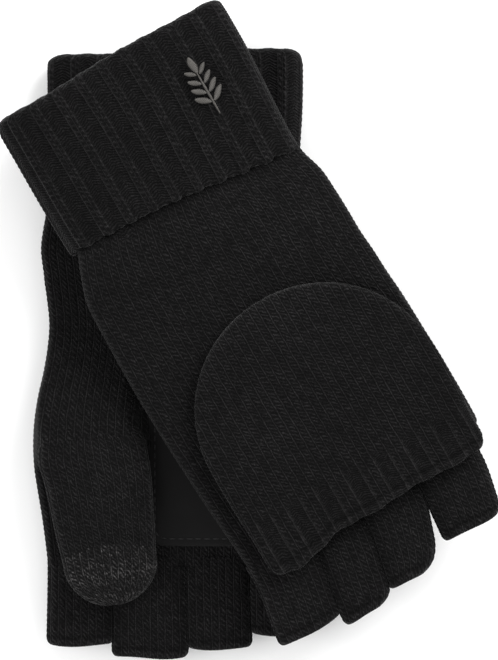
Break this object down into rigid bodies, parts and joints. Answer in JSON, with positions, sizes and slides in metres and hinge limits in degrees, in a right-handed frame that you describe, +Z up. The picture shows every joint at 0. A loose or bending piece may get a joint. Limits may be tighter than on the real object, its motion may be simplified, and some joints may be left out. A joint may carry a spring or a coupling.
{
  "type": "convertible flip-top mittens",
  "caption": "Pair of ribbed-cuff knitted mittens with flip-back finger caps, open half fingers, full thumbs and suede palm patches, lying crossed.",
  "frame": {"origin": "middle of the footprint of the crossed pair, on the surface it lies on", "axes": "+Z up off the surface; +Y from the fingers of the lower mitten towards its cuff; +X across it, away from its thumb"},
  "size_m": [0.2001, 0.2646, 0.0454],
  "materials": {
    "rib_knit": "dark wool, two-and-two rib",
    "plain_knit": "dark wool, plain knit",
    "tip_knit": "dark wool marled with pale conductive yarn",
    "suede": "matt brushed suede",
    "patch_thread": "sewing thread",
    "emblem_thread": "satin-stitch thread, mid grey"
  },
  "bodies": {
    "lower_hand": {"lower_cuff_inner": "rib_knit", "lower_cuff_turnup": "rib_knit", "lower_hand": "plain_knit", "lower_thumb_gusset": "plain_knit", "lower_palm_patch": "suede", "lower_patch_stitching": "patch_thread", "lower_emblem": "emblem_thread", "lower_cap_seam": "plain_knit"},
    "lower_cap": {"lower_cap_back_panel": "plain_knit"},
    "lower_cap_front": {"lower_cap_front_panel": "plain_knit", "lower_cap_hem": "rib_knit"},
    "lower_thumb": {"lower_thumb": "plain_knit", "lower_thumb_tip": "tip_knit"},
    "lower_index": {"lower_index_finger": "plain_knit"},
    "lower_middle": {"lower_middle_finger": "plain_knit"},
    "lower_ring": {"lower_ring_finger": "plain_knit"},
    "lower_little": {"lower_little_finger": "plain_knit"},
    "upper_hand": {"upper_cuff_inner": "rib_knit", "upper_cuff_turnup": "rib_knit", "upper_hand": "plain_knit", "upper_thumb_gusset": "plain_knit", "upper_palm_patch": "suede", "upper_patch_stitching": "patch_thread", "upper_emblem": "emblem_thread", "upper_cap_seam": "plain_knit"},
    "upper_cap": {"upper_cap_back_panel": "plain_knit"},
    "upper_cap_front": {"upper_cap_front_panel": "plain_knit", "upper_cap_hem": "rib_knit"},
    "upper_thumb": {"upper_thumb": "plain_knit", "upper_thumb_tip": "tip_knit"},
    "upper_index": {"upper_index_finger": "plain_knit"},
    "upper_middle": {"upper_middle_finger": "plain_knit"},
    "upper_ring": {"upper_ring_finger": "plain_knit"},
    "upper_little": {"upper_little_finger": "plain_knit"}
  },
  "joints": [
    {"name": "lower_cap_flip", "type": "hinge", "parent": "lower_hand", "child": "lower_cap", "pos_m": [-0.0281, -0.0951, 0.0068], "axis": [-1, 0, 0], "range_deg": [0, 180]},
    {"name": "lower_cap_mouth", "type": "hinge", "parent": "lower_cap", "child": "lower_cap_front", "pos_m": [-0.0281, -0.0044, 0.00585], "axis": [1, 0, 0], "range_deg": [0, 4.3], "deforming": ["lower_cap_front_panel", "lower_cap_hem"]},
    {"name": "lower_thumb_lift", "type": "hinge", "parent": "lower_hand", "child": "lower_thumb", "pos_m": [-0.0621, -0.0441, 0.0279], "axis": [-0.9903, -0.1392, 0], "range_deg": [0, 100]},
    {"name": "lower_index_spread", "type": "hinge", "parent": "lower_hand", "child": "lower_index", "pos_m": [-0.0671, -0.0971, 0.0119], "axis": [0, 0, -1], "range_deg": [0, 4]},
    {"name": "lower_middle_spread", "type": "hinge", "parent": "lower_hand", "child": "lower_middle", "pos_m": [-0.0396, -0.0971, 0.0119], "axis": [0, 0, -1], "range_deg": [0, 1.5]},
    {"name": "lower_ring_spread", "type": "hinge", "parent": "lower_hand", "child": "lower_ring", "pos_m": [-0.0118, -0.0971, 0.0119], "axis": [0, 0, -1], "range_deg": [-1.5, 0]},
    {"name": "lower_little_spread", "type": "hinge", "parent": "lower_hand", "child": "lower_little", "pos_m": [0.0127, -0.0971, 0.0119], "axis": [0, 0, -1], "range_deg": [-4.1, 0]},
    {"name": "upper_cap_flip", "type": "hinge", "parent": "upper_hand", "child": "upper_cap", "pos_m": [0.05103, -0.0688, 0.0386], "axis": [0.866, 0.5, 0], "range_deg": [0, 180]},
    {"name": "upper_cap_mouth", "type": "hinge", "parent": "upper_cap", "child": "upper_cap_front", "pos_m": [0.00568, 0.00975, 0.03955], "axis": [-0.866, -0.5, 0], "range_deg": [0, 4.3], "deforming": ["upper_cap_front_panel", "upper_cap_hem"]},
    {"name": "upper_thumb_swing", "type": "hinge", "parent": "upper_hand", "child": "upper_thumb", "pos_m": [-0.00501, -0.04573, 0.021], "axis": [0, 0, -1], "range_deg": [0, 50]},
    {"name": "upper_index_spread", "type": "hinge", "parent": "upper_hand", "child": "upper_index", "pos_m": [0.01367, -0.09268, 0.0335], "axis": [0, 0, -1], "range_deg": [0, 4]},
    {"name": "upper_middle_spread", "type": "hinge", "parent": "upper_hand", "child": "upper_middle", "pos_m": [0.03506, -0.08033, 0.0335], "axis": [0, 0, -1], "range_deg": [0, 1.5]},
    {"name": "upper_ring_spread", "type": "hinge", "parent": "upper_hand", "child": "upper_ring", "pos_m": [0.05549, -0.06853, 0.0335], "axis": [0, 0, -1], "range_deg": [-1.5, 0]},
    {"name": "upper_little_spread", "type": "hinge", "parent": "upper_hand", "child": "upper_little", "pos_m": [0.08061, -0.05403, 0.0335], "axis": [0, 0, -1], "range_deg": [-4.1, 0]},
    {"name": "upper_lift_off", "type": "slide", "parent": "lower_hand", "child": "upper_hand", "axis": [0, 0, 1], "range_m": [0, 0.12]}
  ],
  "couplings": [
    {"joint": "lower_cap_mouth", "follows": "lower_cap_flip", "ratio": 0.023333},
    {"joint": "lower_middle_spread", "follows": "lower_index_spread", "ratio": 0.3333},
    {"joint": "lower_ring_spread", "follows": "lower_index_spread", "ratio": -0.3333},
    {"joint": "lower_little_spread", "follows": "lower_index_spread", "ratio": -1},
    {"joint": "upper_cap_mouth", "follows": "upper_cap_flip", "ratio": 0.023333},
    {"joint": "upper_middle_spread", "follows": "upper_index_spread", "ratio": 0.3333},
    {"joint": "upper_ring_spread", "follows": "upper_index_spread", "ratio": -0.3333},
    {"joint": "upper_little_spread", "follows": "upper_index_spread", "ratio": -1}
  ]
}
